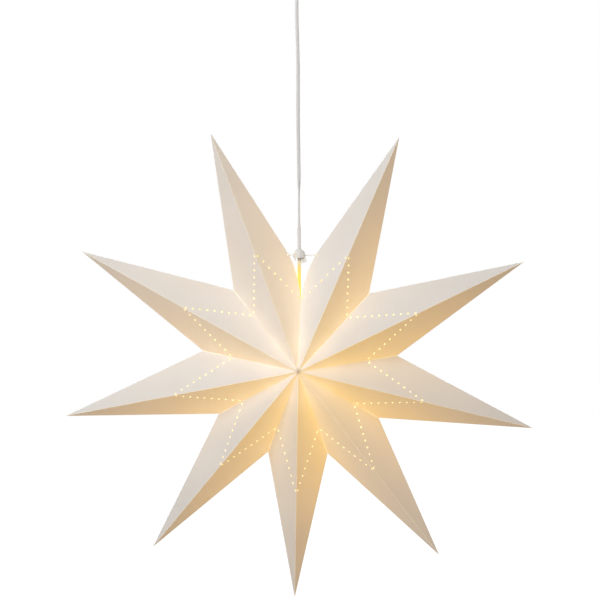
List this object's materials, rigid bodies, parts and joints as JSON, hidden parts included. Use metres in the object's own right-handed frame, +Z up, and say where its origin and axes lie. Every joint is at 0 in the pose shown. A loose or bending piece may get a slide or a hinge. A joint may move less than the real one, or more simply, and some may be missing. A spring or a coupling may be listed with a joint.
{
  "type": "paper star pendant lamp",
  "caption": "Folded paper star shade with punched dots, hung on a flat flex from a ceiling rose, with a lamp holder and bulb inside.",
  "frame": {"origin": "on the ceiling, at the middle of the bracket's two screw holes", "axes": "+Z up, the star's front faces -Y, +X to the right seen from the front"},
  "size_m": [0.6771, 0.18, 0.9399],
  "materials": {
    "paper": "matt white card, translucent",
    "zinc_steel": "zinc plated",
    "white_plastic": "moulded, satin",
    "silver_flex": "clear-sheathed pale flex",
    "core_sheath": "smooth",
    "brass": "bright",
    "nickel": "nickel plated",
    "insulator": "matt",
    "dark_glass": "gloss",
    "frosted_glass": "frosted"
  },
  "bodies": {
    "ceiling": {"ceiling_bracket": "zinc_steel", "cord_saddle": "white_plastic", "saddle_screws": "zinc_steel", "rose_screws": "zinc_steel", "ceiling_rose": "white_plastic", "neck_bush": "white_plastic", "cord_tail": "silver_flex", "terminal_block": "insulator", "terminal_screws": "zinc_steel", "tail_cores": "core_sheath"},
    "drop": {"pendant_cord": "silver_flex", "holder_cap": "white_plastic", "holder_insert": "insulator", "screw_shell": "brass", "centre_contact": "brass", "holder_terminal_screws": "zinc_steel", "cord_grip": "white_plastic"},
    "skirt": {"holder_skirt": "white_plastic"},
    "bulb": {"bulb_glass": "frosted_glass", "bulb_collar": "white_plastic", "bulb_screw_cap": "nickel", "bulb_insulator": "dark_glass", "bulb_contact": "brass"},
    "lock": {"lock_cap": "white_plastic", "lock_block": "white_plastic", "hanger_wire_left": "zinc_steel", "hanger_wire_right": "zinc_steel"},
    "lock_screw": {"lock_screw": "zinc_steel"},
    "shade": {"point_1": "paper", "point_2": "paper", "point_3": "paper", "point_4": "paper", "point_5": "paper", "point_6": "paper", "point_7": "paper", "point_8": "paper", "point_9": "paper", "front_clip": "zinc_steel", "back_clip": "zinc_steel", "corner_eyelets": "brass"}
  },
  "joints": [
    {"name": "cord_swing", "type": "hinge", "parent": "ceiling", "child": "drop", "pos_m": [0, 0, -0.044], "axis": [0, 1, 0], "range_deg": [-8, 8]},
    {"name": "skirt_turn", "type": "hinge", "parent": "drop", "child": "skirt", "pos_m": [0, 0, -0.536], "axis": [0, 0, 1], "continuous": true},
    {"name": "bulb_turn", "type": "hinge", "parent": "drop", "child": "bulb", "pos_m": [0, 0, -0.546], "axis": [0, 0, 1], "continuous": true},
    {"name": "lock_slide", "type": "slide", "parent": "drop", "child": "lock", "axis": [0, 0, 1], "range_m": [-0.005, 0.03]},
    {"name": "lock_screw_turn", "type": "hinge", "parent": "lock", "child": "lock_screw", "pos_m": [0, 0.006, -0.43069], "axis": [0, 1, 0], "continuous": true},
    {"name": "shade_rock", "type": "hinge", "parent": "lock", "child": "shade", "pos_m": [0, 0, -0.4361], "axis": [0.9996, 0, -0.0279], "range_deg": [-8, 8]}
  ]
}
